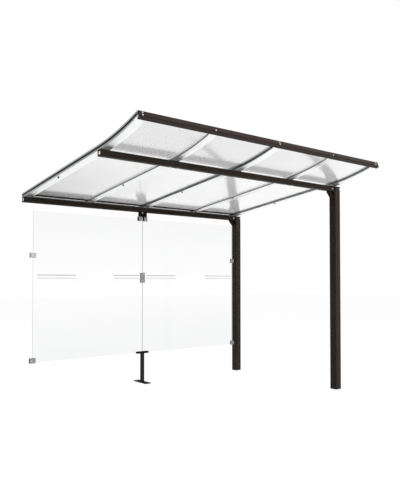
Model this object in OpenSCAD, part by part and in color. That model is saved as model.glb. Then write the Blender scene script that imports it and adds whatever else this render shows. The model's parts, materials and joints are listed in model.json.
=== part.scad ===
// Add-on bay of a bicycle shelter: two posts at the right-hand end, two beams,
// a roof of cellular sheets on curved glazing bars, and a glass back wall.
// X runs along the bay, Y from the open front to the glass, Z up from the ground.
// The origin is the centre of the front post's foot.

/* [Posts] */
// Side of the square posts
post_w = 80; // [50:1:100]
// Wall of the post tubes
post_wall = 3; // [2:0.5:6]
// Front post to rear post, centre to centre
post_spacing = 1525; // [1200:5:2000]
// Height of the rear post, the front post follows the roof slope
rear_post_h = 1901; // [1700:1:2100]
// Thickness of the plate that closes each post top
post_cap_t = 3; // [2:0.5:6]
// Thickness of the plate that closes each post foot
foot_plate_t = 6; // [3:0.5:12]
// Outer corner radius of the posts
post_r = 8; // [3:0.5:12]

/* [Beams] */
// Side of the square beams
beam_w = 50; // [40:1:70]
// Wall of the beam tubes
beam_wall = 3; // [2:0.5:6]
// Outer corner radius of the beams
beam_r = 5; // [3:0.5:8]
// Post centre line to the free ends of the beams
bay_len = 2706; // [2000:1:3200]
// Thickness of the plate on each free end
end_plate_t = 3; // [2:0.5:8]
// Width of the window in the end plates
end_window_w = 34; // [12:1:36]
// Height of the window in the end plates
end_window_h = 25; // [12:1:36]
// Reach of the gussets along the beams
gusset_reach = 64; // [40:1:160]
// Drop of the gussets down the posts
gusset_drop = 66; // [50:1:200]
// Depth of a gusset across the beam
gusset_w = 42; // [30:1:50]
// Thickness of the gussets' web and of the walls around it
gusset_t = 4; // [2:0.5:8]
// Height of the blunt tips of the gussets
gusset_tip = 12; // [6:1:24]
// Thickness of the gussets' sloping flange along the beam and the post
gusset_flange = 12; // [6:1:20]

/* [Roof shape] */
// Left-hand roof edge to the free beam ends
roof_left_gap = 6; // [0:1:30]
// Right-hand roof edge to the post centre line
roof_right_gap = 15; // [0:1:30]
// Slope of the straight rear stretch in degrees
roof_pitch = 6.4; // [3:0.1:10]
// Place where the upward curve starts, in front of it the bars are arcs
bend_y = 30; // [-100:1:200]
// Radius of the curve along the undersides of the bars
bend_r = 2600; // [1800:10:4000]
// Roof overhang behind the rear beam
rear_overhang = 12; // [5:1:60]
// Front post centre to the front ends of the bars
front_reach = 529; // [400:1:700]
// Height of the roof line above the rear edge of the rear post
rear_seat = 0.5; // [0.5:0.5:10]
// Height of the roof line above the rear edge of the front post
front_seat = 1; // [0.5:0.5:20]

/* [Glazing bars] */
// Width of the three glazing bars
bar_w = 76; // [60:1:100]
// Height of the bars below the sheets
bar_h = 9; // [7:0.5:24]
// Wall of the bars
bar_wall = 3; // [2:0.5:5]
// Width of the rib between the two sheets
bar_rib_w = 12; // [8:1:20]
// Height of the lips along the outer edges of the two outer bars
edge_lip_h = 15; // [12:0.5:20]
// Width of the two rafters between the glazing bars
rafter_w = 70; // [40:1:80]
// Height of the cover strips on top
cover_h = 13; // [6:1:20]
// Thickness of the end caps at the rear of the bars
bar_cap_t = 4; // [2:0.5:8]
// Width of the sealing strip along each sheet edge
seal_w = 8; // [4:1:14]

/* [Sheets and trims] */
// Thickness of the cellular sheets
sheet_t = 16; // [10:1:25]
// Wall of the trims along the rear sheet edges
trim_t = 1.5; // [1:0.5:3]
// Depth of the trims along the slope
trim_d = 20; // [12:1:40]
// Wall of the fascia channel
fascia_t = 2.5; // [2:0.5:5]
// Depth of the fascia channel
fascia_d = 28; // [20:1:40]
// Room between the cover strips and the top of the fascia
fascia_room = 1; // [1:1:12]
// Drop of the fascia's lower flange below the bars
fascia_drop = 7.5; // [1:0.5:15]
// Lap of the fascia past the right-hand roof edge, left free at the other edge
fascia_lap = 6; // [0:1:12]

/* [Glass wall] */
// Thickness of the glass
glass_t = 8; // [6:1:12]
// Ground to the lower edge of the glass
glass_z = 325; // [200:5:500]
// Free beam end to the left edge of the glass
glass_left_gap = 102; // [60:1:200]
// Width of the left pane
left_pane_w = 1229; // [900:1:1500]
// Joint between the two panes
pane_joint = 6; // [4:1:14]

/* [Glass clips] */
// Width of the clips at the ends of the glass
clip_w = 57; // [48:1:80]
// Height of the clips at the ends of the glass
clip_h = 49; // [36:1:70]
// Depth of all clips from front to back
clip_d = 22; // [18:1:34]
// Overlap of the left clips on the glass
left_clip_grip = 28; // [12:1:34]
// Overlap of the right clips on the glass
right_clip_grip = 15; // [8:1:30]
// Upper edge of the glass to the middle of the upper clips
upper_clip_drop = 430; // [200:5:700]
// Lower edge of the glass to the middle of the lower clips
lower_clip_rise = 16; // [0:1:100]
// Width of the joint clip
joint_clip_w = 52; // [40:1:90]
// Height of the joint clip
joint_clip_h = 108; // [60:1:160]
// Upper edge of the glass to the middle of the joint clip
joint_clip_drop = 642; // [300:1:900]
// Width of each clip under the hanger
hanger_clip_w = 42; // [30:1:60]
// Height of the clips under the hanger
hanger_clip_h = 48; // [36:1:70]
// Distance between the two clips under the hanger
hanger_clip_gap = 28; // [10:1:40]
// Overlap of the hanger clips on the glass
hanger_grip = 22; // [12:1:30]

/* [Hanger and foot] */
// Width of the hanger under the rear beam
hanger_w = 80; // [60:1:120]
// Height of the hanger
hanger_h = 47; // [30:1:80]
// Thickness of the hanger's folded sheet
hanger_t = 5; // [3:0.5:8]
// Width of the foot channel that carries the panes
channel_w = 142; // [90:1:200]
// Depth of the foot channel
channel_d = 36; // [24:1:60]
// Height of the foot channel
channel_h = 20; // [14:1:40]
// Depth of the glass in the foot channel
channel_grip = 10; // [6:1:12]
// Side of the foot leg
leg_w = 35; // [25:1:60]
// Wall of the foot leg
leg_wall = 3; // [2:0.5:5]
// Outer corner radius of the foot leg
leg_r = 5; // [3:0.5:8]
// Length of the base plate from front to back
base_len = 240; // [220:5:320]
// Width of the base plate
base_w = 72; // [60:1:120]
// Thickness of the base plate
base_t = 8; // [5:1:15]
// Diameter of the two holes in the base plate
base_hole_d = 13; // [8:0.5:18]
// Distance between the two holes in the base plate
base_hole_pitch = 190; // [100:5:200]

/* [Hidden] */
$fn = 96;
// Facets of a full turn of the roof curve
curve_fn = 720;
// Gap left between pieces that seat on a curved face
seat_gap = 0.2;
// Gap left between the flat saddles and the bars
saddle_gap = 0.4;
// Gap on each side of the glass in its clips and channel
glass_gap = 0.3;
// Extra length of cutting shapes
cut = 1;
// Extra angle of cutting shapes that follow the curve
cut_angle = 0.1;
// Depth by which the curve starts inside the straight stretch
tangent_bite = 0.01;
// Smallest inner corner radius of a tube
least_r = 0.5;

rear_y = post_spacing;
beam_left = -bay_len;
post_face = -post_w / 2;

// The roof line runs along the undersides of the bars: a straight rear stretch,
// then an arc about a centre above the roof.
roof_left = beam_left + roof_left_gap;
roof_right = -roof_right_gap;
roof_len = roof_right - roof_left;
seat_y = rear_y + post_w / 2;
seat_z = rear_post_h + rear_seat;
bend_z = seat_z + tan(roof_pitch) * (seat_y - bend_y);
arc_y = bend_y + bend_r * sin(roof_pitch);
arc_z = bend_z + bend_r * cos(roof_pitch);
rear_run = (rear_y + beam_w / 2 + rear_overhang - bend_y) / cos(roof_pitch);
bar_front_y = -front_reach;
front_angle = asin((arc_y - bar_front_y) / bend_r);

// Height of the roof line at a place along Y
function roof_line_z(y) = y > bend_y
    ? bend_z - tan(roof_pitch) * (y - bend_y)
    : arc_z - sqrt(bend_r * bend_r - (arc_y - y) * (arc_y - y));

front_post_h = roof_line_z(post_w / 2) - front_seat;
front_beam_z = front_post_h - beam_w;
rear_beam_z = rear_post_h - beam_w;

// Levels above the roof line, measured square to it
sheet_n = bar_h + seat_gap;
cover_n = sheet_n + sheet_t + seat_gap;
roof_top_n = cover_n + cover_h;

// Centres of the bars: the outer two lie inside the roof edges
bar_x = [
    roof_left + bar_w / 2,
    roof_left + roof_len / 4,
    roof_left + roof_len / 2,
    roof_left + roof_len * 3 / 4,
    roof_right - bar_w / 2
];
bar_widths = [bar_w, rafter_w, bar_w, rafter_w, bar_w];

// Outer faces of the seals behind the lips
left_seal_x = roof_left + bar_wall + seat_gap;
right_seal_x = roof_right - bar_wall - seat_gap;

// Glass panes and the hanger above their joint
glass_left = beam_left + glass_left_gap;
glass_right = post_face - clip_w + right_clip_grip;
joint_x = glass_left + left_pane_w + pane_joint / 2;
hanger_z = rear_beam_z - hanger_h;
hanger_clip_z = hanger_z - hanger_clip_h;
glass_top = hanger_clip_z + hanger_grip;
slot_w = glass_t + 2 * glass_gap;
upper_clip_z = glass_top - upper_clip_drop;
lower_clip_z = glass_z + lower_clip_rise;
joint_clip_z = glass_top - joint_clip_drop;
channel_z = glass_z + channel_grip - channel_h;

steel_brown = "#2f2926";
fascia_brown = "#4a4040";
aluminium = "#b9bdbf";
zinc = "#a9abac";
rubber_black = "#171717";
sheet_white = [0.92, 0.93, 0.93, 0.85];
glass_clear = [0.86, 0.9, 0.9, 0.35];

// Shared shapes

// Square with round corners, centred on the origin
module rounded_square(side, r) {
    square([side, side - 2 * r], center = true);
    square([side - 2 * r, side], center = true);
    for (x = [-1, 1], y = [-1, 1]) {
        translate([x * (side / 2 - r), y * (side / 2 - r)]) circle(r = r);
    }
}

// Square tube from z = 0 up, centred on the Z axis
module square_tube(side, wall, r, height) {
    linear_extrude(height) difference() {
        rounded_square(side, r);
        rounded_square(side - 2 * wall, max(r - wall, least_r));
    }
}

// Region below one level of the roof, in Y and Z: straight for a run behind the bend,
// then along the curve up to an end angle
module under_roof(level, depth, run, end_angle) {
    bend = [bend_y, bend_z];
    centre = [arc_y, arc_z];
    along = [cos(roof_pitch), -sin(roof_pitch)];
    across = [sin(roof_pitch), cos(roof_pitch)];
    outer_r = bend_r - level + depth;
    middle_angle = (roof_pitch + end_angle) / 2;
    middle_r = outer_r / cos((end_angle - roof_pitch) / 2);
    difference() {
        polygon([
            bend + run * along + level * across,
            bend + level * across,
            centre,
            centre - outer_r * [sin(end_angle), cos(end_angle)],
            centre - middle_r * [sin(middle_angle), cos(middle_angle)],
            bend + (level - depth) * across,
            bend + run * along + (level - depth) * across
        ]);
        translate(centre) circle(r = bend_r - level + tangent_bite, $fn = curve_fn);
    }
}

// Strip of the roof from x1 to x2 that follows the curve between two levels
module roof_strip(x1, x2, low, high, run = rear_run, end_angle = front_angle) {
    translate([x1, 0, 0]) rotate([90, 0, 90]) linear_extrude(x2 - x1) difference() {
        under_roof(high, high - low + cut, run, end_angle);
        under_roof(low, 2 * cut, run + cut, end_angle + cut_angle);
    }
}

// Strip that cuts through both ends of a roof strip
module roof_cutter(x1, x2, low, high) {
    roof_strip(x1, x2, low, high, rear_run + cut, front_angle + cut_angle);
}

// Moves a shape to the straight stretch: Y along the slope from the bend, Z square to it
module on_slope() {
    translate([0, bend_y, bend_z]) rotate([-roof_pitch, 0, 0]) children();
}

// Moves a shape to the front ends of the bars: Y along their slope to the rear, Z square to it
module on_front_end() {
    translate([0, bar_front_y, roof_line_z(bar_front_y)]) rotate([-front_angle, 0, 0]) children();
}

// Upturned channel of one bar
module bar_channel(centre, width) {
    difference() {
        roof_strip(centre - width / 2, centre + width / 2, 0, bar_h);
        roof_cutter(centre - width / 2 + bar_wall, centre + width / 2 - bar_wall, bar_wall, bar_h + cut);
    }
}

// Channel of one outer bar, with a lip along the roof edge at x1
module edge_bar(centre, x1) {
    bar_channel(centre, bar_w);
    roof_strip(x1, x1 + bar_wall, 0, edge_lip_h);
}

// Cover strip that clamps the sheet edges from above
module cover_strip(centre) {
    difference() {
        roof_strip(centre - bar_w / 2, centre + bar_w / 2, cover_n, roof_top_n);
        roof_cutter(centre - bar_w / 2 + bar_wall, centre + bar_w / 2 - bar_wall,
            cover_n - cut, roof_top_n - bar_wall);
    }
}

// Cast gusset under a beam whose lower face is at z = 0, on the post face at x = 0,
// with a pocket on each side of its web
module gusset() {
    outline = [
        [0, 0], [-gusset_reach, 0], [-gusset_reach, -gusset_tip],
        [-gusset_tip, -gusset_drop], [0, -gusset_drop]
    ];
    pocket = [
        [-gusset_t, -gusset_t], [gusset_flange - gusset_reach, -gusset_t],
        [-gusset_t, gusset_flange - gusset_drop]
    ];
    rotate([90, 0, 0]) difference() {
        translate([0, 0, -gusset_w / 2]) linear_extrude(gusset_w) polygon(outline);
        translate([0, 0, gusset_t / 2]) linear_extrude(gusset_w) polygon(pocket);
        translate([0, 0, -gusset_t / 2 - gusset_w]) linear_extrude(gusset_w) polygon(pocket);
    }
}

// Saddles between one beam and the undersides of the bars
module saddles(beam_y, beam_top) {
    front = beam_y - beam_w / 2;
    back = beam_y + beam_w / 2;
    outline = [
        [front, beam_top], [back, beam_top],
        [back, roof_line_z(back) - saddle_gap], [front, roof_line_z(front) - saddle_gap]
    ];
    for (centre = bar_x) {
        translate([centre - rafter_w / 2, 0, 0]) rotate([90, 0, 90]) linear_extrude(rafter_w) polygon(outline);
    }
}

// Clip body from x1 to x2, centred on z, with a slot for the glass
module edge_clip(x1, x2, slot_x1, slot_x2, z) {
    difference() {
        translate([x1, rear_y - clip_d / 2, z - clip_h / 2]) cube([x2 - x1, clip_d, clip_h]);
        translate([slot_x1, rear_y - slot_w / 2, z - clip_h / 2 - cut])
            cube([slot_x2 - slot_x1, slot_w, clip_h + 2 * cut]);
    }
}

module pane(x1, x2) {
    translate([x1, rear_y - glass_t / 2, glass_z]) cube([x2 - x1, glass_t, glass_top - glass_z]);
}

// Frame

module post(y, height) {
    color(steel_brown) translate([0, y, 0]) {
        square_tube(post_w, post_wall, post_r, height - post_cap_t);
        linear_extrude(foot_plate_t) rounded_square(post_w - post_wall, post_r - post_wall / 2);
    }
}

module front_post() { post(0, front_post_h); }

module rear_post() { post(rear_y, rear_post_h); }

module post_caps() {
    color(steel_brown) for (place = [[0, front_post_h], [rear_y, rear_post_h]]) {
        translate([0, place[0], place[1] - post_cap_t])
            linear_extrude(post_cap_t) rounded_square(post_w, post_r);
    }
}

module beam(y, z) {
    length = post_face - beam_left - end_plate_t;
    color(steel_brown) translate([post_face - length, y, z + beam_w / 2])
        rotate([0, 90, 0]) square_tube(beam_w, beam_wall, beam_r, length);
}

module front_beam() { beam(0, front_beam_z); }

module rear_beam() { beam(rear_y, rear_beam_z); }

module beam_end_plates() {
    color(steel_brown) for (place = [[0, front_beam_z], [rear_y, rear_beam_z]]) {
        translate([beam_left, place[0], place[1] + beam_w / 2]) rotate([0, 90, 0])
            linear_extrude(end_plate_t) difference() {
                rounded_square(beam_w, beam_r);
                square([end_window_h, end_window_w], center = true);
            }
    }
}

module beam_end_inserts() {
    inner = beam_w - 2 * beam_wall - 2 * seat_gap;
    color(zinc) for (place = [[0, front_beam_z], [rear_y, rear_beam_z]]) {
        translate([beam_left + end_plate_t, place[0], place[1] + beam_w / 2]) rotate([0, 90, 0])
            linear_extrude(end_plate_t) rounded_square(inner, beam_r);
    }
}

module front_gusset() {
    color(steel_brown) translate([post_face, 0, front_beam_z]) gusset();
}

module rear_gusset() {
    color(steel_brown) translate([post_face, rear_y, rear_beam_z]) gusset();
}

// Roof

module glazing_bar_left() { color(aluminium) edge_bar(bar_x[0], roof_left); }

module rafter_left() { color(aluminium) bar_channel(bar_x[1], rafter_w); }

// The middle bar has a rib between the two sheets, with an open pocket on each side of it
module glazing_bar_middle() {
    rib_top = sheet_n + sheet_t;
    color(aluminium) difference() {
        roof_strip(bar_x[2] - bar_w / 2, bar_x[2] + bar_w / 2, 0, rib_top);
        for (side = [-1, 1]) {
            rib = bar_x[2] + side * bar_rib_w / 2;
            wall = bar_x[2] + side * (bar_w / 2 - bar_wall);
            outside = bar_x[2] + side * (bar_w / 2 + cut);
            roof_cutter(min(rib, wall), max(rib, wall), bar_wall, bar_h + cut);
            roof_cutter(min(rib, outside), max(rib, outside), bar_h, rib_top + cut);
        }
    }
}

module rafter_right() { color(aluminium) bar_channel(bar_x[3], rafter_w); }

module glazing_bar_right() { color(aluminium) edge_bar(bar_x[4], roof_right - bar_wall); }

module seal_left() {
    color(rubber_black) roof_strip(left_seal_x, left_seal_x + seal_w, sheet_n, sheet_n + sheet_t);
}

module seal_middle() {
    color(rubber_black) for (side = [-1, 1]) {
        inner = bar_x[2] + side * bar_rib_w / 2;
        outer = inner + side * seal_w;
        roof_strip(min(inner, outer), max(inner, outer), sheet_n, sheet_n + sheet_t);
    }
}

module seal_right() {
    color(rubber_black) roof_strip(right_seal_x - seal_w, right_seal_x, sheet_n, sheet_n + sheet_t);
}

module roof_sheet(x1, x2) {
    color(sheet_white)
        roof_strip(x1, x2, sheet_n, sheet_n + sheet_t, rear_run - trim_t - seat_gap);
}

module roof_sheet_left() {
    roof_sheet(left_seal_x + seal_w, bar_x[2] - bar_rib_w / 2 - seal_w);
}

module roof_sheet_right() {
    roof_sheet(bar_x[2] + bar_rib_w / 2 + seal_w, right_seal_x - seal_w);
}

module cover_strip_left() { color(aluminium) cover_strip(bar_x[0]); }

module cover_strip_middle() { color(aluminium) cover_strip(bar_x[2]); }

module cover_strip_right() { color(aluminium) cover_strip(bar_x[4]); }

module bar_end_caps() {
    color(rubber_black) on_slope() for (i = [0 : len(bar_x) - 1]) {
        top = bar_widths[i] == bar_w ? roof_top_n : bar_h;
        translate([bar_x[i] - bar_widths[i] / 2, rear_run, 0])
            cube([bar_widths[i], bar_cap_t, top]);
    }
}

// Channels that close the rear edges of the sheets between the bars
module rear_trims() {
    low = sheet_n - seat_gap - trim_t;
    high = sheet_n + sheet_t + seat_gap + trim_t;
    color(steel_brown) on_slope() for (i = [0 : len(bar_x) - 2]) {
        x1 = bar_x[i] + bar_widths[i] / 2 + seat_gap;
        x2 = bar_x[i + 1] - bar_widths[i + 1] / 2 - seat_gap;
        translate([x1, rear_run - trim_d, low]) difference() {
            cube([x2 - x1, trim_d, high - low]);
            translate([-cut, -cut, trim_t])
                cube([x2 - x1 + 2 * cut, trim_d - trim_t + cut, sheet_t + 2 * seat_gap]);
        }
    }
}

// Channel around the front ends of the bars
module front_fascia() {
    inside = fascia_drop + roof_top_n + fascia_room;
    color(fascia_brown) on_front_end()
        translate([roof_left + fascia_lap, -fascia_t - seat_gap, -fascia_drop - fascia_t]) difference() {
            cube([roof_len, fascia_d, inside + 2 * fascia_t]);
            translate([-cut, fascia_t, fascia_t]) cube([roof_len + 2 * cut, fascia_d, inside]);
        }
}

module front_saddles() { color(zinc) saddles(0, front_post_h); }

module rear_saddles() { color(zinc) saddles(rear_y, rear_post_h); }

// Glass wall

module glass_left() { color(glass_clear) pane(glass_left, joint_x - pane_joint / 2); }

module glass_right() { color(glass_clear) pane(joint_x + pane_joint / 2, glass_right); }

// Box under the rear beam, open to the rear, that carries the two upper clips
module glass_hanger() {
    color(steel_brown) translate([joint_x - hanger_w / 2, rear_y - beam_w / 2, hanger_z]) difference() {
        cube([hanger_w, beam_w, hanger_h]);
        translate([hanger_t, hanger_t, hanger_t])
            cube([hanger_w - 2 * hanger_t, beam_w, hanger_h - 2 * hanger_t]);
    }
}

module hanger_clip(x1) {
    color(zinc) translate([joint_x + x1, rear_y, hanger_clip_z]) difference() {
        translate([0, -clip_d / 2, 0]) cube([hanger_clip_w, clip_d, hanger_clip_h]);
        translate([-cut, -slot_w / 2, -cut])
            cube([hanger_clip_w + 2 * cut, slot_w, hanger_grip + glass_gap + cut]);
    }
}

module hanger_clip_left() { hanger_clip(-hanger_clip_gap / 2 - hanger_clip_w); }

module hanger_clip_right() { hanger_clip(hanger_clip_gap / 2); }

module joint_clip() {
    web = pane_joint - 2 * glass_gap;
    color(zinc) translate([joint_x, rear_y, joint_clip_z]) difference() {
        translate([-joint_clip_w / 2, -clip_d / 2, -joint_clip_h / 2])
            cube([joint_clip_w, clip_d, joint_clip_h]);
        for (side = [-1, 1]) {
            translate([side > 0 ? web / 2 : -web / 2 - joint_clip_w, -slot_w / 2, -joint_clip_h / 2 - cut])
                cube([joint_clip_w, slot_w, joint_clip_h + 2 * cut]);
        }
    }
}

module left_clip(z) {
    x2 = glass_left + left_clip_grip;
    color(zinc) edge_clip(x2 - clip_w, x2, glass_left - glass_gap, x2 + cut, z);
}

module left_clip_upper() { left_clip(upper_clip_z); }

module left_clip_lower() { left_clip(lower_clip_z); }

module right_clip(z) {
    x1 = post_face - clip_w;
    color(zinc) edge_clip(x1, post_face, x1 - cut, glass_right + glass_gap, z);
}

module right_clip_upper() { right_clip(upper_clip_z); }

module right_clip_lower() { right_clip(lower_clip_z); }

module foot_channel() {
    color(steel_brown) translate([joint_x - channel_w / 2, rear_y, channel_z]) difference() {
        translate([0, -channel_d / 2, 0]) cube([channel_w, channel_d, channel_h]);
        translate([-cut, -slot_w / 2, channel_h - channel_grip - glass_gap])
            cube([channel_w + 2 * cut, slot_w, channel_h]);
    }
}

module foot_leg() {
    color(steel_brown) translate([joint_x, rear_y, base_t]) square_tube(leg_w, leg_wall, leg_r, channel_z - base_t);
}

module foot_base_plate() {
    color(steel_brown) translate([joint_x, rear_y, 0]) difference() {
        translate([-base_w / 2, -base_len / 2, 0]) cube([base_w, base_len, base_t]);
        for (side = [-1, 1]) {
            translate([0, side * base_hole_pitch / 2, -cut]) cylinder(d = base_hole_d, h = base_t + 2 * cut);
        }
    }
}

front_post();
rear_post();
post_caps();
front_beam();
rear_beam();
beam_end_plates();
beam_end_inserts();
front_gusset();
rear_gusset();
glazing_bar_left();
rafter_left();
glazing_bar_middle();
rafter_right();
glazing_bar_right();
seal_left();
seal_middle();
seal_right();
roof_sheet_left();
roof_sheet_right();
cover_strip_left();
cover_strip_middle();
cover_strip_right();
bar_end_caps();
rear_trims();
front_fascia();
front_saddles();
rear_saddles();
glass_left();
glass_right();
glass_hanger();
hanger_clip_left();
hanger_clip_right();
joint_clip();
left_clip_upper();
left_clip_lower();
right_clip_upper();
right_clip_lower();
foot_channel();
foot_leg();
foot_base_plate();
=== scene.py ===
"""Looks of an add-on bay of a bicycle shelter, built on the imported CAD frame."""

import json
import math

import bmesh
import bpy
from mathutils import Matrix, Vector
from mathutils.bvhtree import BVHTree


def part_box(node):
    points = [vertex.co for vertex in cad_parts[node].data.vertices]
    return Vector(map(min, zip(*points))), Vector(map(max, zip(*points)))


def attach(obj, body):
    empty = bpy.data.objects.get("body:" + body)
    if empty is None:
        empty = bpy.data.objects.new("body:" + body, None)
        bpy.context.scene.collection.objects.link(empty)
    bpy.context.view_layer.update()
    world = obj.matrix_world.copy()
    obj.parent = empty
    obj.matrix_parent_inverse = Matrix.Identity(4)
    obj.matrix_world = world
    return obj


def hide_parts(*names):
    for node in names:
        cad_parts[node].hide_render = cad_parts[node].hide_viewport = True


# The photograph's viewpoint, in metres, degrees and pixels of a 400 x 500 picture
CAMERA_PLACE = (-4.6347, -3.6720, 1.1121)
CAMERA_YAW = 38.009
CAMERA_PITCH = 1.292
FOCAL_PIXELS = 558.14
PICTURE_HEIGHT = 500
HORIZON_DROP = 17.4
SENSOR_SIZE = 36

# Floor, surroundings and lamps; a lamp has a name, a place, a target, a size and a power in watts
FLOOR_SIZE = 60
FLOOR_GREY = (0.9, 0.9, 0.9, 1)
FLOOR_ROUGHNESS = 0.9
FLOOR_GLOW = 1.05
FLOOR_GLOW_SHARE = 0.9
SURROUNDINGS_LIGHT = 0.35
SURROUNDINGS_SEEN = 1.0
LAMPS = (
    ("key", (2.5, -6.5, 4.0), (-1.2, 0.3, 1.2), 3.5, 520),
    ("top", (-1.4, 0.8, 6.0), (-1.4, 0.8, 2.0), 4.0, 220),
)

# Colours, linear
COAT_BROWN = (0.019, 0.0135, 0.0105)
COAT_BROWN_LIGHT = (0.027, 0.0195, 0.0155)
BRACKET_BROWN = (0.010, 0.0075, 0.006)
FASCIA_BROWN = (0.036, 0.026, 0.024)
FASCIA_BROWN_LIGHT = (0.047, 0.035, 0.0325)
ALUMINIUM = (0.98, 0.99, 0.99)
# Painted shade on the bars' faces that look along X; the outer bars take the lighter one
ALUMINIUM_SIDE_SHADE = (0.21, 0.22, 0.225)
ALUMINIUM_OUTER_SIDE_SHADE = (0.34, 0.35, 0.35)
ZINC = (0.36, 0.365, 0.365)
ZINC_DARK = (0.25, 0.255, 0.255)
ZINC_LIGHT = (0.66, 0.665, 0.665)
ZINC_LIGHT_DARK = (0.52, 0.525, 0.525)
ZINC_BRIGHT = (0.85, 0.85, 0.84)
ZINC_BRIGHT_DARK = (0.70, 0.70, 0.69)
ZINC_DULL = (0.16, 0.165, 0.17)
ZINC_DULL_DARK = (0.11, 0.115, 0.12)
RUBBER = (0.010, 0.010, 0.010)
CAP_BLACK = (0.022, 0.022, 0.022)
SHEET_CLEAR = (1.0, 1.0, 1.0)
SHEET_RIB = (0.08, 0.08, 0.08)
# Darker underside tones at the rear left and at the front are painted shade and painted reflections of
# the dark frame
SHEET_REAR_LEFT_SHADE = (0.24, 0.245, 0.24)
SHEET_REAR_RIGHT = (1.0, 1.0, 1.0)
SHEET_MIDDLE = (0.96, 0.96, 0.96)
SHEET_FRONT_SHADE = (0.68, 0.68, 0.68)
# Black of the painted shade band just in front of the rear beam
SHEET_BEAM_SHADE = (0.0, 0.0, 0.0)
GLASS_CLEAR = (0.998, 1.0, 1.0)
GLASS_HEAD = (0.928, 0.932, 0.932)
GLASS_FOOT = (0.900, 0.905, 0.905)
GLASS_EDGE = (0.20, 0.22, 0.215)
FILM_GREY = (0.42, 0.43, 0.43)

# Gloss of the coats, and the parts of a noise's range that are drawn out
COAT_GLOSS = 0.1
BRACKET_GLOSS = 0.02
FASCIA_GLOSS = 0.05
COAT_EDGE_RADIUS = 0.002
FASCIA_EDGE_RADIUS = 0.0005
NARROW_RANGE = (0.35, 0.65)
WIDE_RANGE = (0.3, 0.7)
SPECKLE_RANGE = (0.55, 0.75)

# Sockets of a Mix node that mixes colours
MIX_FIRST = 6
MIX_SECOND = 7
MIX_RESULT = 2

# Roof sheets, in metres and degrees
SHEETS = ("roof_sheet_left", "roof_sheet_right")
SHEET_THICK = 0.016
SHEET_STATIONS = 48
STATION_INSET = 0.0003
SHEET_SHARP_ANGLE = 20
FACING_DOWN = -0.5

# Looks of the roof sheets; tones change between two places along X or Y, in metres; the darker underside
# tones are painted shade and painted reflections
SHEET_IOR = 1.15
SHEET_COAT_IOR = 2.3
SHEET_COAT_ROUGHNESS = 0.17
# Places where the painted shade and painted reflections on the underside fade out
REAR_SHADE_X = (-2.7, -1.6)
MIDDLE_TONE_Y = (1.3, 0.3)
MIDDLE_TONE_SHARE = 0.8
FRONT_SHADE_X = (-1.2, 0.3)
FRONT_SHADE_BORDER_Y = (0.15, -0.15)
# Painted shade of the rear beam on the sheets' underside: a black band that darkens towards the beam
BEAM_SHADE_START = 1.40
BEAM_SHADE_END = 1.50
BEAM_SHADE_FADE = 0.012
RIB_PITCH = 0.0215
RIB_WIDTH = 0.009
RIB_CREST = 0.6
RIB_STRONG = 0.5
RIB_FAINT = 0.06
RIB_FADE = (-3.4, -0.9)
RIB_FADE_SLANT = 0.5

# Gaps between an added piece and its surface, and between a strip and what it ends at, in metres
SURFACE_GAP = 0.0002
STRIP_INSET = 0.001

# Rubber and lips along the bars; beads in millimetres out of the bar and above the sheet's underside
BARS = ("glazing_bar_left", "rafter_left", "glazing_bar_middle", "rafter_right", "glazing_bar_right")
RAFTERS = ("rafter_left", "rafter_right")
GASKET_SIZE = 0.002
GASKET_OUTLINE = ((0, 0), (1, 0), (0.8, -0.6), (0, -1))
GASKET_SIDES = {"glazing_bar_left": (1,), "glazing_bar_middle": (-1, 1), "glazing_bar_right": (-1,)}
LIP_DEPTH = 0.004
LIP_TIP = 0.001
LIP_WIDTH = 0.016
LIP_SPANS = ((-0.480, -0.027), (0.027, 1.498))
LIP_STATIONS = 33
BEAD_ROOT = ((0.2, 15.8), (-3.0, 15.8), (-3.0, 6.0), (0.2, 6.0))
BEAD_LIP = ((0.2, 0.6), (1.3, 1.6), (1.7, 8.6), (1.3, 15.4), (0.2, 16.4))
BEAD_SIDES = {
    "glazing_bar_left": ("roof_sheet_left", -1),
    "glazing_bar_right": ("roof_sheet_right", 1),
}
# Dark strips under the sheets before the rear beam, standing in for the beam's shade
SHADE_STRIP_FRONT = 1.447
SHADE_STRIP_REAR = 1.503
SHADE_STRIP_THICK = 0.002

# Fascia: lengths in metres, and strengths of the painted shadow line along the fold
FOLD_HEIGHT = 2.204
FOLD_BLEND = 0.001
FOLD_SHADOW_LINE = (0.0045, 0.002)
FOLD_SHADOW_SHARE = 0.8
FOLD_SHADE = 0.3
STRIP_THICK = 0.0015

# Fasteners: (radius, height) rings for a width of 1, and whether they are cut to a hexagon
TURNED_SIDES = 24
HEX_CORNER = 1 / math.sqrt(3)
HEX_BOLT = (
    (((0.62, 0), (0.62, 0.063), (0.589, 0.09)), False),
    (((HEX_CORNER, 0.09), (HEX_CORNER, 0.4165), (0.5, 0.49)), True),
)
SCREW_DOME = ((0.5, 0), (0.5, 0.05), (0.465, 0.125), (0.375, 0.2), (0.25, 0.24))
SCREW_SOCKET = ((0.225, 0.24), (0.21, 0.1))
DOME_SCREW = ((SCREW_DOME + SCREW_SOCKET, False),)
CAP_NUT = (
    (((HEX_CORNER, 0), (HEX_CORNER, 0.4), (0.48, 0.45)), True),
    (((0.46, 0.4), (0.46, 0.55), (0.4, 0.7), (0.25, 0.8), (0.08, 0.83)), False),
)

# Widths and places of the fasteners, in metres
FASCIA_BOLT = 0.010
FASCIA_BOLT_SINGLE = (2.212,)
FASCIA_BOLT_PAIR = (2.210, 2.228)
BAR_NUT = 0.013
BAR_NUT_OFFSET = -0.009
BAR_NUT_Y = 0.798
BEAM_BOLT = 0.013
BEAM_BOLT_OFFSETS = (-0.04, 0.04)
BEAM_END_BOLT = 0.012
BEAM_END_BOLT_INSET = 0.026
POST_SCREW = 0.016
POST_SCREW_INSET = 0.012
GLASS_SCREW = 0.012

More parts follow.
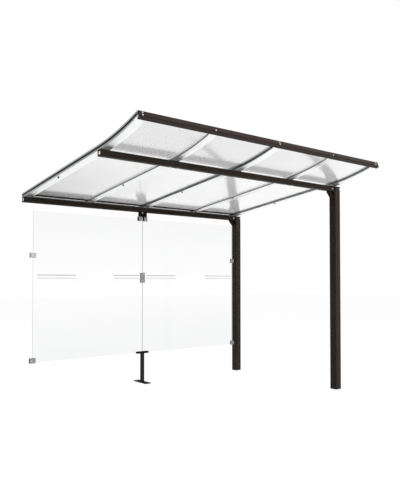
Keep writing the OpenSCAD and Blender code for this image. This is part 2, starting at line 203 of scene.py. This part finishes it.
# Screws on the clips of the glass, as shares of the clip's width and height from its middle
GLASS_SCREWS = {
    "joint_clip": ((-0.25, 0.3), (0.25, 0.3), (-0.25, -0.3), (0.25, -0.3)),
    "left_clip_upper": ((-0.2, 0),),
    "left_clip_lower": ((-0.2, 0),),
    "right_clip_upper": ((0.2, 0),),
    "right_clip_lower": ((0.2, 0),),
    "hanger_clip_left": ((0, -0.25),),
    "hanger_clip_right": ((0, -0.25),),
    "glass_hanger": ((-0.22, 0.38),),
}

# Panes, in metres: heights of the foot, the clear part and the head, stripes, and reach of the dark pads
# that stand in for the shade on the clips' left ends
GLASS_IOR = 1.12
GLASS_LEVELS = (0.325, 0.93, 1.03, 1.778)
FILM_LIFT = 0.0004
STRIPE_LEVELS = ((1.160, 0.0085), (1.130, 0.005))
STRIPE_RUNS = ((-2.565, -2.160), (-1.733, -1.415), (-1.322, -0.925), (-0.495, -0.098))
CLIP_SHADE_PAD_INSET = 0.002
CLIP_SHADE_PADS = {
    "left_clip_upper": 0.001,
    "left_clip_lower": 0.001,
    "hanger_clip_left": 0.004,
    "hanger_clip_right": 0.011,
}

# Nodes that look different from the rest of their slot
OWN_LOOKS = {
    "glazing_bar_left": "cover_strips",
    "glazing_bar_right": "cover_strips",
    "front_saddles": "saddles",
    "rear_saddles": "saddles",
    "left_clip_upper": "light_clips",
    "foot_leg": "posts",
}

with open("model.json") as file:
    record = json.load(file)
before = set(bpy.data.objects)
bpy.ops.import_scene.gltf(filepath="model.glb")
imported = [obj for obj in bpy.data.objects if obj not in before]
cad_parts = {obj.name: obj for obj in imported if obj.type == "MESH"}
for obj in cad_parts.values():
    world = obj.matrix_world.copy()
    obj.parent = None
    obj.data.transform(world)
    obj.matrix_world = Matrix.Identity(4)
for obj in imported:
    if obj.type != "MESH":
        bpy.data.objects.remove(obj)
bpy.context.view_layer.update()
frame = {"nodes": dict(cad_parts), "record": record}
nodes = frame["nodes"]


# Places on the frame


def middle(node, axis):
    """Middle of a CAD node along one axis, in metres."""
    low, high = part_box(node)
    return (low[axis] + high[axis]) / 2


def solid_tree(node):
    """Search tree of a CAD node's faces."""
    mesh = nodes[node].data
    points = [v.co for v in mesh.vertices]
    faces = [list(p.vertices) for p in mesh.polygons]
    return BVHTree.FromPolygons(points, faces)


def from_below(tree, x, y):
    """Point and upward normal where a plumb line from the ground meets a CAD node."""
    place, normal = tree.ray_cast(Vector((x, y, 0)), Vector((0, 0, 1)))[:2]
    return place, -normal


def line_below(node, start, end, count):
    """Places and upward normals along the underside of a CAD node, between two values of Y."""
    tree = solid_tree(node)
    steps = [start + (end - start) * i / (count - 1) for i in range(count)]
    return [from_below(tree, middle(node, 0), y) for y in steps]


def underside(sheet):
    """Places and upward normals along the whole underside of a roof sheet, from front to rear."""
    points = [v.co for v in nodes[sheet].data.vertices]
    front = min(p.y for p in points)
    rear = min(points, key=lambda p: p.z).y
    return line_below(sheet, front + STATION_INSET, rear - STATION_INSET, SHEET_STATIONS)


def sheet_at(x):
    """The roof sheet that lies at a place along the bay."""
    return SHEETS[0] if x < middle("glazing_bar_middle", 0) else SHEETS[1]


def fascia_face(tree, x, height):
    """Place and outward normal on the fascia's front, at a place along it and a height."""
    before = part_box("front_fascia")[0][1] - 1
    return tree.ray_cast(Vector((x, before, height)), Vector((0, 1, 0)))[:2]


# Materials


def shade(colour, factor):
    """A colour made darker or lighter."""
    return tuple(factor * c for c in colour)


class Recipe:
    """A procedural material in the making: its nodes and its surface shader."""

    def __init__(self, name, **settings):
        self.material = bpy.data.materials.new(name)
        self.material.use_nodes = True
        self.tree = self.material.node_tree
        self.shader = self.tree.nodes["Principled BSDF"]
        self.place = self.tree.nodes.new("ShaderNodeTexCoord").outputs["Object"]
        self.set(**settings)

    def set(self, **settings):
        """Plain values on the shader's own sockets."""
        for socket, value in settings.items():
            self.shader.inputs[socket.replace("_", " ")].default_value = value

    def link(self, source, target):
        self.tree.links.new(source, target)

    def axes(self, vector):
        """X, Y and Z of a vector."""
        node = self.tree.nodes.new("ShaderNodeSeparateXYZ")
        self.link(vector, node.inputs["Vector"])
        return node.outputs["X"], node.outputs["Y"], node.outputs["Z"]

    def noise(self, scale, detail, stretch=(1, 1, 1)):
        """Noise of the given scale, drawn out along the axes where stretch is small."""
        mapping = self.tree.nodes.new("ShaderNodeMapping")
        mapping.inputs["Scale"].default_value = stretch
        self.link(self.place, mapping.inputs["Vector"])
        texture = self.tree.nodes.new("ShaderNodeTexNoise")
        texture.inputs["Scale"].default_value = scale
        texture.inputs["Detail"].default_value = detail
        self.link(mapping.outputs["Vector"], texture.inputs["Vector"])
        return texture.outputs["Fac"]

    def math(self, operation, first, second=None):
        """Result of a sum; each term is a number or a socket."""
        node = self.tree.nodes.new("ShaderNodeMath")
        node.operation = operation
        for socket, value in zip(node.inputs, (first, second)):
            if value is None:
                continue
            if isinstance(value, (int, float)):
                socket.default_value = value
            else:
                self.link(value, socket)
        return node.outputs["Value"]

    def spread(self, source, low, high, out_low=0.0, out_high=1.0):
        """Source from low to high, stretched to a new range and held inside it."""
        node = self.tree.nodes.new("ShaderNodeMapRange")
        ends = {"From Min": low, "From Max": high, "To Min": out_low, "To Max": out_high}
        for socket, value in ends.items():
            node.inputs[socket].default_value = value
        self.link(source, node.inputs["Value"])
        return node.outputs["Result"]

    def mix(self, factor, first, second):
        """Colour between first and second; each is a colour or a socket."""
        node = self.tree.nodes.new("ShaderNodeMix")
        node.data_type = "RGBA"
        self.link(factor, node.inputs["Factor"])
        for socket, value in ((node.inputs[MIX_FIRST], first), (node.inputs[MIX_SECOND], second)):
            if isinstance(value, tuple):
                socket.default_value = (*value, 1)
            else:
                self.link(value, socket)
        return node.outputs[MIX_RESULT]

    def colour(self, source):
        self.link(source, self.shader.inputs["Base Color"])

    def roughness(self, source):
        self.link(source, self.shader.inputs["Roughness"])

    def bump(self, source, distance, strength, edge_radius=0.0):
        """Bumps of the given depth, on edges that look rounded where a radius is given."""
        node = self.tree.nodes.new("ShaderNodeBump")
        node.inputs["Distance"].default_value = distance
        node.inputs["Strength"].default_value = strength
        self.link(source, node.inputs["Height"])
        if edge_radius:
            bevel = self.tree.nodes.new("ShaderNodeBevel")
            bevel.inputs["Radius"].default_value = edge_radius
            self.link(bevel.outputs["Normal"], node.inputs["Normal"])
        self.link(node.outputs["Normal"], self.shader.inputs["Normal"])

    def side_ways(self):
        """1 on faces that look along X, 0 on faces that look along Y or Z."""
        geometry = self.tree.nodes.new("ShaderNodeNewGeometry")
        return self.math("ABSOLUTE", self.axes(geometry.outputs["True Normal"])[0])


def coat(name, dark, light, gloss, edge_radius):
    """Recipe of a satin powder coat with orange peel, and its tone: two close browns and a speckle."""
    recipe = Recipe(name, Roughness=0.5, Specular_IOR_Level=gloss)
    clouds = recipe.noise(scale=4.0, detail=4.0)
    speckle = recipe.noise(scale=1400.0, detail=2.0)
    peel = recipe.noise(scale=420.0, detail=2.0)
    tone = recipe.mix(recipe.spread(clouds, *NARROW_RANGE), dark, light)
    tone = recipe.mix(recipe.spread(speckle, *SPECKLE_RANGE, 0.0, 0.35), tone, light)
    recipe.roughness(recipe.spread(clouds, *WIDE_RANGE, 0.42, 0.58))
    recipe.bump(peel, distance=0.0003, strength=0.35, edge_radius=edge_radius)
    return recipe, tone


def powder_coat(name, dark, light, gloss):
    """Satin powder coat."""
    recipe, tone = coat(name, dark, light, gloss, COAT_EDGE_RADIUS)
    recipe.colour(tone)
    return recipe.material


def folded_fascia(name, dark, light):
    """Powder coat on a folded channel: a painted shadow line along the fold, with painted shade on the
    lower part.
    """
    recipe, tone = coat(name, dark, light, FASCIA_GLOSS, FASCIA_EDGE_RADIUS)
    height = recipe.axes(recipe.place)[2]
    # Painted shade on the part below the fold, and a painted shadow line along the fold
    below = recipe.spread(height, FOLD_HEIGHT + FOLD_BLEND, FOLD_HEIGHT - FOLD_BLEND)
    away = recipe.math("ABSOLUTE", recipe.math("SUBTRACT", height, FOLD_HEIGHT))
    fold = recipe.spread(away, *FOLD_SHADOW_LINE, 0.0, FOLD_SHADOW_SHARE)
    lower = recipe.mix(below, tone, dark)
    recipe.colour(recipe.mix(fold, lower, shade(dark, FOLD_SHADE)))
    return recipe.material


def extruded_aluminium(name, face, shaded_side):
    """Mill-finish extrusion: die lines along Y, with painted shade on the faces that look along X."""
    recipe = Recipe(name, Metallic=1.0, Roughness=0.35)
    lines = recipe.noise(scale=900.0, detail=2.0, stretch=(1, 0.004, 1))
    clouds = recipe.noise(scale=6.0, detail=3.0)
    bright = recipe.mix(recipe.spread(lines, 0.35, 0.7), face, shade(face, 0.93))
    # Painted shade: faces that look along X take the darker side colour
    recipe.colour(recipe.mix(recipe.spread(recipe.side_ways(), 0.3, 0.7), bright, shaded_side))
    recipe.roughness(recipe.spread(clouds, *WIDE_RANGE, 0.28, 0.42))
    recipe.bump(lines, distance=0.00006, strength=0.5, edge_radius=0.0008)
    return recipe.material


def zinc_plate(name, light, dark):
    """Zinc-plated or satin steel: cloudy spangle and fine brushing."""
    recipe = Recipe(name, Metallic=1.0, Roughness=0.4)
    spangle = recipe.noise(scale=160.0, detail=2.0)
    brushing = recipe.noise(scale=1500.0, detail=2.0, stretch=(0.03, 1, 1))
    recipe.colour(recipe.mix(recipe.spread(spangle, *NARROW_RANGE), dark, light))
    recipe.roughness(recipe.spread(brushing, *WIDE_RANGE, 0.3, 0.5))
    recipe.bump(brushing, distance=0.00005, strength=0.4, edge_radius=0.001)
    return recipe.material


def black_rubber(name, tone):
    """Matt rubber or plastic with a fine grain and a little dust in it."""
    recipe = Recipe(name, Roughness=0.7, Specular_IOR_Level=0.05)
    grain = recipe.noise(scale=1800.0, detail=2.0)
    dust = recipe.noise(scale=30.0, detail=4.0)
    recipe.colour(recipe.mix(recipe.spread(dust, 0.45, 0.8), tone, shade(tone, 2.2)))
    recipe.roughness(recipe.spread(grain, *WIDE_RANGE, 0.6, 0.8))
    recipe.bump(grain, distance=0.0001, strength=0.4)
    return recipe.material


def underside_tone_and_painted_shade(recipe):
    """Colour of a roof sheet's underside: painted shade and painted reflections by place, ribs, and a
    painted shade band before the rear beam.
    """
    along, across = recipe.axes(recipe.place)[:2]
    # Painted shade and painted reflections: darker at the rear left, fading towards the middle, and
    # darker at the front left
    rear = recipe.mix(recipe.spread(along, *REAR_SHADE_X), SHEET_REAR_LEFT_SHADE, SHEET_REAR_RIGHT)
    forward = recipe.spread(across, *MIDDLE_TONE_Y, 0.0, MIDDLE_TONE_SHARE)
    rear = recipe.mix(forward, rear, SHEET_MIDDLE)
    front = recipe.mix(recipe.spread(along, *FRONT_SHADE_X), SHEET_FRONT_SHADE, SHEET_MIDDLE)
    tone = recipe.mix(recipe.spread(across, *FRONT_SHADE_BORDER_Y), rear, front)
    turns = recipe.math("FRACT", recipe.math("DIVIDE", along, RIB_PITCH))
    offset = recipe.math("ABSOLUTE", recipe.math("SUBTRACT", turns, 0.5))
    half = RIB_WIDTH / RIB_PITCH / 2
    corner = recipe.math("SUBTRACT", along, recipe.math("MULTIPLY", across, RIB_FADE_SLANT))
    clearness = recipe.spread(corner, *RIB_FADE, RIB_STRONG, RIB_FAINT)
    rib = recipe.math("MULTIPLY", recipe.spread(offset, half, half * RIB_CREST), clearness)
    tone = recipe.mix(rib, tone, SHEET_RIB)
    # Painted shade: a black band that darkens towards the rear beam and fades out quickly at it
    beam_shade = recipe.spread(across, BEAM_SHADE_START, BEAM_SHADE_END)
    behind = recipe.spread(across, BEAM_SHADE_END + BEAM_SHADE_FADE, BEAM_SHADE_END)
    return recipe.mix(recipe.math("MULTIPLY", beam_shade, behind), tone, SHEET_BEAM_SHADE)


def sheet_skin(name, is_underside):
    """Skin of a clear cellular sheet, streaked along its flutes."""
    recipe = Recipe(name, Roughness=0.06, IOR=SHEET_IOR, Transmission_Weight=1.0)
    recipe.set(Coat_Weight=1.0, Coat_Roughness=SHEET_COAT_ROUGHNESS, Coat_IOR=SHEET_COAT_IOR)
    streaks = recipe.noise(scale=40.0, detail=2.0, stretch=(1, 0.02, 1))
    if is_underside:
        recipe.colour(underside_tone_and_painted_shade(recipe))
    else:
        streaked = recipe.spread(streaks, *WIDE_RANGE)
        recipe.colour(recipe.mix(streaked, SHEET_CLEAR, shade(SHEET_CLEAR, 0.985)))
    recipe.roughness(recipe.spread(streaks, *WIDE_RANGE, 0.05, 0.07))
    recipe.bump(streaks, distance=0.0001, strength=0.03)
    return recipe.material


def clear_glass(name):
    """Toughened glass: clear half way up, greyer to head and foot, with darker upright edges."""
    recipe = Recipe(name, Roughness=0.0, IOR=GLASS_IOR, Transmission_Weight=1.0)
    height = recipe.axes(recipe.place)[2]
    foot, clear_low, clear_high, head = GLASS_LEVELS
    wave = recipe.noise(scale=3.0, detail=1.0, stretch=(1, 1, 0.3))
    tone = recipe.mix(wave, GLASS_CLEAR, shade(GLASS_CLEAR, 0.996))
    tone = recipe.mix(recipe.spread(height, clear_high, head), tone, GLASS_HEAD)
    tone = recipe.mix(recipe.spread(height, clear_low, foot), tone, GLASS_FOOT)
    recipe.colour(recipe.mix(recipe.spread(recipe.side_ways(), 0.4, 0.6), tone, GLASS_EDGE))
    recipe.bump(wave, distance=0.0004, strength=0.1)
    return recipe.material


def frosted_film(name):
    """Etched-look film: pale, matt and grainy."""
    recipe = Recipe(name, Roughness=0.6)
    grain = recipe.noise(scale=900.0, detail=2.0)
    recipe.colour(recipe.mix(grain, FILM_GREY, shade(FILM_GREY, 1.15)))
    recipe.bump(grain, distance=0.00005, strength=0.3)
    return recipe.material


def make_materials():
    """One material for each slot of the record, and those of own looks and added pieces."""
    brown = powder_coat("brown_coat", COAT_BROWN, COAT_BROWN_LIGHT, COAT_GLOSS)
    return {
        "posts": brown,
        "beams": brown,
        "brackets": powder_coat("bracket_coat", BRACKET_BROWN, COAT_BROWN, BRACKET_GLOSS),
        "trims": brown,
        "fascia": folded_fascia("fascia_coat", FASCIA_BROWN, FASCIA_BROWN_LIGHT),
        "glazing_bars": extruded_aluminium("mill_aluminium", ALUMINIUM, ALUMINIUM_SIDE_SHADE),
        "cover_strips": extruded_aluminium("mill_aluminium_outside", ALUMINIUM, ALUMINIUM_OUTER_SIDE_SHADE),
        "seals": black_rubber("seal_rubber", RUBBER),
        "end_caps": black_rubber("cap_plastic", CAP_BLACK),
        "roof_sheets": sheet_skin("sheet_underside", True),
        "sheet_tops": sheet_skin("sheet_outside", False),
        "glass": clear_glass("clear_glass"),
        "clips": zinc_plate("satin_steel", ZINC, ZINC_DARK),
        "light_clips": zinc_plate("satin_steel_light", ZINC_LIGHT, ZINC_LIGHT_DARK),
        "inserts": zinc_plate("zinc_insert", ZINC_BRIGHT, ZINC_BRIGHT_DARK),
        "saddles": zinc_plate("dull_zinc", ZINC_DULL, ZINC_DULL_DARK),
        "bolts": zinc_plate("bolt_zinc", ZINC_BRIGHT, ZINC_BRIGHT_DARK),
        "film": frosted_film("frosted_film"),
    }


def dress_nodes(materials):
    """Gives each CAD node the material of its slot, or its own."""
    for part in frame["record"]["subparts"]:
        node = part["node"]
        mesh = nodes[node].data
        mesh.materials.clear()
        mesh.materials.append(materials[OWN_LOOKS.get(node, part["material_slot"])])


# Small pieces


def turn_to(place, direction):
    """Matrix that carries the Z axis onto a direction at a place."""
    turn = Vector(direction).to_track_quat("Z", "Y").to_matrix().to_4x4()
    return Matrix.Translation(Vector(place)) @ turn


def hexagon(across, angle):
    """Radius of a hexagon of the given width across its flats."""
    sixth = math.pi / 3
    return across / 2 / math.cos((angle + sixth / 2) % sixth - sixth / 2)


def join_rings(bm, rings):
    """Closes a row of rings to a solid with flat ends."""
    count = len(rings[0])
    for one, two in zip(rings, rings[1:]):
        for i in range(count):
            j = (i + 1) % count
            bm.faces.new((one[i], one[j], two[j], two[i]))
    bm.faces.new(list(reversed(rings[0])))
    bm.faces.new(rings[-1])


def add_turned(bm, profile, matrix, across=None):
    """Adds a turned shape with the given (radius, height) rings; with across it is cut to a hexagon."""
    rings = []
    for radius, height in profile:
        ring = []
        for i in range(TURNED_SIDES):
            angle = 2 * math.pi * i / TURNED_SIDES
            reach = min(radius, hexagon(across, angle)) if across else radius
            spot = Vector((reach * math.cos(angle), reach * math.sin(angle), height))
            ring.append(bm.verts.new(matrix @ spot))
        rings.append(ring)
    join_rings(bm, rings)


def add_fastener(bm, kind, place, direction, width):
    """Adds a bolt, screw or nut of the given kind, on a surface at a place."""
    matrix = turn_to(Vector(place) + SURFACE_GAP * Vector(direction), direction)
    for rings, hexagonal in kind:
        profile = [(width * radius, width * height) for radius, height in rings]
        add_turned(bm, profile, matrix, width if hexagonal else None)


def add_strip(bm, line, corners):
    """Sweeps an outline of (x, height above the line) corners along a line of places and normals."""
    rings = []
    for place, normal in line:
        rings.append([bm.verts.new((x, *(place + rise * normal).yz)) for x, rise in corners])
    join_rings(bm, rings)


def add_rail(bm, spots, start, end):
    """Straight rail along X, with the given (Y, Z) spots as its outline."""
    join_rings(bm, [[bm.verts.new((x, y, z)) for y, z in spots] for x in (start, end)])


def finish_piece(bm, name, material):
    """Turns a bmesh into a piece that rides on the frame."""
    bmesh.ops.recalc_face_normals(bm, faces=bm.faces)
    mesh = bpy.data.meshes.new(name)
    bm.to_mesh(mesh)
    bm.free()
    mesh.materials.append(material)
    piece = bpy.data.objects.new(name, mesh)
    bpy.context.scene.collection.objects.link(piece)
    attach(piece, "root")
    return piece


def make_sheet(materials, node):
    """Smoothly curved sheet in place of the CAD sheet's facets."""
    low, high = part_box(node)
    corners = [(low[0], 0), (high[0], 0), (high[0], SHEET_THICK), (low[0], SHEET_THICK)]
    bm = bmesh.new()
    add_strip(bm, underside(node), corners)
    piece = finish_piece(bm, "curved_" + node, materials["roof_sheets"])
    piece.data.polygons.foreach_set("use_smooth", [True] * len(piece.data.polygons))
    piece.data.set_sharp_from_angle(angle=math.radians(SHEET_SHARP_ANGLE))
    piece.data.materials.append(materials["sheet_tops"])
    for face in piece.data.polygons:
        face.material_index = 0 if face.normal.z < FACING_DOWN else 1
    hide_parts(node)


def make_gaskets(materials):
    """Rubber beads in the corners between the glazing bars and the sheets."""
    bm = bmesh.new()
    for bar, ways in GASKET_SIDES.items():
        low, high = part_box(bar)
        for way in ways:
            edge = high[0] if way > 0 else low[0]
            corners = [(edge + way * GASKET_SIZE * x, GASKET_SIZE * z) for x, z in GASKET_OUTLINE]
            add_strip(bm, underside(sheet_at(edge)), corners)
    finish_piece(bm, "gaskets", materials["seals"])


def make_bar_lips(materials):
    """Drip lips along both lower edges of the bars, cut away over the beams."""
    outline = [(0, 0), (0, -LIP_DEPTH), (LIP_TIP, -LIP_DEPTH), (LIP_WIDTH, 0)]
    bm = bmesh.new()
    for bar in BARS:
        low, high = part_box(bar)
        for start, end in LIP_SPANS:
            line = line_below(bar, start, end, LIP_STATIONS)
            for edge, inward in ((low[0], 1), (high[0], -1)):
                add_strip(bm, line, [(edge + inward * across, rise) for across, rise in outline])
    finish_piece(bm, "bar_lips", materials["glazing_bars"])


def make_edge_beads(materials):
    """Rubber beads that stand out of the slots along the outer faces of the two outer bars."""
    bm = bmesh.new()
    for bar, (sheet, way) in BEAD_SIDES.items():
        low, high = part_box(bar)
        face = high[0] if way > 0 else low[0]
        corners = [(face + way * out / 1000, rise / 1000) for out, rise in BEAD_ROOT + BEAD_LIP]
        add_strip(bm, underside(sheet), corners)
    finish_piece(bm, "edge_beads", materials["seals"])


def make_sheet_shade_strips(materials):
    """Dark strips under the sheets, close in front of the rear beam, standing in for the beam's shade on
    the sheets.
    """
    bm = bmesh.new()
    for left, right in zip(BARS, BARS[1:]):
        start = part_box(left)[1][0] + STRIP_INSET
        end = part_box(right)[0][0] - STRIP_INSET
        sheet = sheet_at(start)
        tree = solid_tree(sheet)
        front = from_below(tree, middle(sheet, 0), SHADE_STRIP_FRONT)[0]
        rear, normal = from_below(tree, middle(sheet, 0), SHADE_STRIP_REAR)
        way = (rear - front).normalized()
        chamfer = SHADE_STRIP_THICK / 2
        outline = [
            front,
            front - chamfer * normal,
            front + chamfer * way - SHADE_STRIP_THICK * normal,
            rear - chamfer * way - SHADE_STRIP_THICK * normal,
            rear - chamfer * normal,
            rear,
        ]
        add_rail(bm, [(spot - SURFACE_GAP * normal).yz for spot in outline], start, end)
    finish_piece(bm, "sheet_shade_strips", materials["seals"])


def make_fascia_strip(materials):
    """Upper part of the fascia's front, which stands a little proud of the part below the fold."""
    low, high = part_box("front_fascia")
    tree = solid_tree("front_fascia")
    halfway = middle("front_fascia", 0)
    foot = fascia_face(tree, halfway, FOLD_HEIGHT)[0]
    head, normal = fascia_face(tree, halfway, high[2] - STRIP_INSET)
    up = (head - foot).normalized()
    span = (head - foot).length
    chamfer = STRIP_THICK / 2
    lower_edge = [(0, 0), (0, chamfer), (chamfer, STRIP_THICK)]
    upper_edge = [(span - chamfer, STRIP_THICK), (span, chamfer), (span, 0)]
    spots = [foot + rise * up + (out + SURFACE_GAP) * normal for rise, out in lower_edge + upper_edge]
    bm = bmesh.new()
    add_rail(bm, [spot.yz for spot in spots], low[0] + STRIP_INSET, high[0] - STRIP_INSET)
    finish_piece(bm, "fascia_strip", materials["fascia"])


def make_fascia_bolts(materials):
    """Bolts through the fascia into the bars: two at each glazing bar, one at each rafter."""
    tree = solid_tree("front_fascia")
    bm = bmesh.new()
    for bar in BARS:
        heights = FASCIA_BOLT_SINGLE if bar in RAFTERS else FASCIA_BOLT_PAIR
        for height in heights:
            place, normal = fascia_face(tree, middle(bar, 0), height)
            add_fastener(bm, HEX_BOLT, place + STRIP_THICK * normal, normal, FASCIA_BOLT)
    finish_piece(bm, "fascia_bolts", materials["bolts"])


def make_bar_nuts(materials):
    """Dark cap nuts under the bars, half way along the straight stretch."""
    bm = bmesh.new()
    for bar in BARS:
        place, normal = from_below(solid_tree(bar), middle(bar, 0) + BAR_NUT_OFFSET, BAR_NUT_Y)
        add_fastener(bm, CAP_NUT, place, -normal, BAR_NUT)
    finish_piece(bm, "bar_nuts", materials["end_caps"])


def make_beam_bolts(materials):
    """Bolts up through the beams beside the rafters, and at the beam ends by the posts."""
    bm = bmesh.new()
    for beam in ("front_beam", "rear_beam"):
        low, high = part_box(beam)
        for bar in RAFTERS:
            for offset in BEAM_BOLT_OFFSETS:
                place = (middle(bar, 0) + offset, middle(beam, 1), low[2])
                add_fastener(bm, HEX_BOLT, place, (0, 0, -1), BEAM_BOLT)
        for face, way in ((low[1], -1), (high[1], 1)):
            place = (high[0] - BEAM_END_BOLT_INSET, face, middle(beam, 2))
            add_fastener(bm, HEX_BOLT, place, (0, way, 0), BEAM_END_BOLT)
    finish_piece(bm, "beam_bolts", materials["bolts"])


def make_post_bolts(materials):
    """Screws at beam height on the outer face of each post and near the edges of its front and rear."""
    bm = bmesh.new()
    for post, beam in (("front_post", "front_beam"), ("rear_post", "rear_beam")):
        low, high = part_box(post)
        level = middle(beam, 2)
        add_fastener(bm, DOME_SCREW, (high[0], middle(post, 1), level), (1, 0, 0), POST_SCREW)
        for face, way in ((low[1], -1), (high[1], 1)):
            place = (high[0] - POST_SCREW_INSET, face, level)
            add_fastener(bm, DOME_SCREW, place, (0, way, 0), POST_SCREW)
    finish_piece(bm, "post_bolts", materials["bolts"])


def make_glass_screws(materials):
    """Dome screws on both sides of the glass clips and on the front of the hanger."""
    bm = bmesh.new()
    for clip, spots in GLASS_SCREWS.items():
        low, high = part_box(clip)
        for along, up in spots:
            x = middle(clip, 0) + along * (high[0] - low[0])
            z = middle(clip, 2) + up * (high[2] - low[2])
            add_fastener(bm, DOME_SCREW, (x, low[1], z), (0, -1, 0), GLASS_SCREW)
            if clip != "glass_hanger":
                add_fastener(bm, DOME_SCREW, (x, high[1], z), (0, 1, 0), GLASS_SCREW)
    finish_piece(bm, "glass_screws", materials["bolts"])


def make_clip_shade_pads(materials):
    """Dark rubber pads on the clips' left ends, standing in for the shade on those ends."""
    bm = bmesh.new()
    for clip, reach in CLIP_SHADE_PADS.items():
        low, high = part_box(clip)
        front, rear = low[1] + CLIP_SHADE_PAD_INSET, high[1] - CLIP_SHADE_PAD_INSET
        foot, head = low[2] + CLIP_SHADE_PAD_INSET, high[2] - CLIP_SHADE_PAD_INSET
        corners = ((front, foot), (rear, foot), (rear, head), (front, head))
        # Painted shade: a dark pad on each clip's left end
        add_rail(bm, corners, low[0] - SURFACE_GAP - reach, low[0] - SURFACE_GAP)
    finish_piece(bm, "clip_shade_pads", materials["seals"])


def make_stripes(materials):
    """Two plain marking stripes across the panes, with a bare field in the middle of each pane."""
    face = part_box("glass_left")[0][1] - FILM_LIFT
    bm = bmesh.new()
    for height, width in STRIPE_LEVELS:
        foot, head = height - width / 2, height + width / 2
        for start, end in STRIPE_RUNS:
            corners = ((start, foot), (end, foot), (end, head), (start, head))
            bm.faces.new([bm.verts.new((x, face, z)) for x, z in corners])
    finish_piece(bm, "glass_stripes", materials["film"])


# Stage


def make_camera():
    """Camera at the photograph's viewpoint."""
    data = bpy.data.cameras.new("camera")
    data.sensor_width = SENSOR_SIZE
    data.lens = FOCAL_PIXELS / PICTURE_HEIGHT * SENSOR_SIZE
    data.shift_y = HORIZON_DROP / PICTURE_HEIGHT
    camera = bpy.data.objects.new("camera", data)
    camera.location = CAMERA_PLACE
    camera.rotation_euler = (math.radians(90 + CAMERA_PITCH), 0, math.radians(-CAMERA_YAW))
    bpy.context.scene.collection.objects.link(camera)
    bpy.context.scene.camera = camera


def seen_directly(tree):
    """1 for rays from the camera, off gloss and through glass, 0 for rays that light things."""
    path = tree.nodes.new("ShaderNodeLightPath")
    total = path.outputs["Is Camera Ray"]
    for name in ("Is Glossy Ray", "Is Transmission Ray"):
        node = tree.nodes.new("ShaderNodeMath")
        node.operation = "MAXIMUM"
        tree.links.new(total, node.inputs[0])
        tree.links.new(path.outputs[name], node.inputs[1])
        total = node.outputs["Value"]
    return total


def make_floor():
    """Pale floor that is white to look at and keeps a soft shadow."""
    bpy.ops.mesh.primitive_plane_add(size=FLOOR_SIZE)
    floor = bpy.context.object
    floor.name = "floor"
    material = bpy.data.materials.new("floor_white")
    material.use_nodes = True
    tree = material.node_tree
    shader = tree.nodes["Principled BSDF"]
    shader.inputs["Base Color"].default_value = FLOOR_GREY
    shader.inputs["Roughness"].default_value = FLOOR_ROUGHNESS
    glow = tree.nodes.new("ShaderNodeEmission")
    glow.inputs["Strength"].default_value = FLOOR_GLOW
    share = tree.nodes.new("ShaderNodeMath")
    share.operation = "MULTIPLY"
    share.inputs[1].default_value = FLOOR_GLOW_SHARE
    tree.links.new(seen_directly(tree), share.inputs[0])
    mixed = tree.nodes.new("ShaderNodeMixShader")
    tree.links.new(share.outputs["Value"], mixed.inputs["Fac"])
    tree.links.new(shader.outputs["BSDF"], mixed.inputs[1])
    tree.links.new(glow.outputs["Emission"], mixed.inputs[2])
    tree.links.new(mixed.outputs["Shader"], tree.nodes["Material Output"].inputs["Surface"])
    material.cycles.emission_sampling = "NONE"
    floor.data.materials.append(material)


def make_world():
    """White all round for the eye, a softer grey for the light it gives."""
    world = bpy.data.worlds.new("studio")
    bpy.context.scene.world = world
    world.use_nodes = True
    world.cycles.sampling_method = "NONE"
    tree = world.node_tree
    background = tree.nodes["Background"]
    background.inputs["Color"].default_value = (1, 1, 1, 1)
    strength = tree.nodes.new("ShaderNodeMapRange")
    strength.inputs["To Min"].default_value = SURROUNDINGS_LIGHT
    strength.inputs["To Max"].default_value = SURROUNDINGS_SEEN
    tree.links.new(seen_directly(tree), strength.inputs["Value"])
    tree.links.new(strength.outputs["Result"], background.inputs["Strength"])


def make_lamp(name, place, target, size, power):
    """Square soft lamp that looks at a target."""
    data = bpy.data.lights.new(name, "AREA")
    data.size = size
    data.energy = power
    lamp = bpy.data.objects.new(name, data)
    lamp.location = place
    lamp.rotation_euler = (Vector(target) - Vector(place)).to_track_quat("-Z", "Y").to_euler()
    lamp.visible_camera = False
    lamp.visible_glossy = False
    lamp.visible_transmission = False
    bpy.context.scene.collection.objects.link(lamp)


def make_stage():
    """Camera, floor, surroundings and lamps."""
    bpy.context.scene.view_settings.view_transform = "Standard"
    make_camera()
    make_floor()
    make_world()
    for lamp in LAMPS:
        make_lamp(*lamp)


make_stage()
materials = make_materials()
dress_nodes(materials)
for sheet in SHEETS:
    make_sheet(materials, sheet)
make_gaskets(materials)
make_bar_lips(materials)
make_edge_beads(materials)
make_sheet_shade_strips(materials)
make_fascia_strip(materials)
make_fascia_bolts(materials)
make_bar_nuts(materials)
make_beam_bolts(materials)
make_post_bolts(materials)
make_glass_screws(materials)
make_clip_shade_pads(materials)
make_stripes(materials)
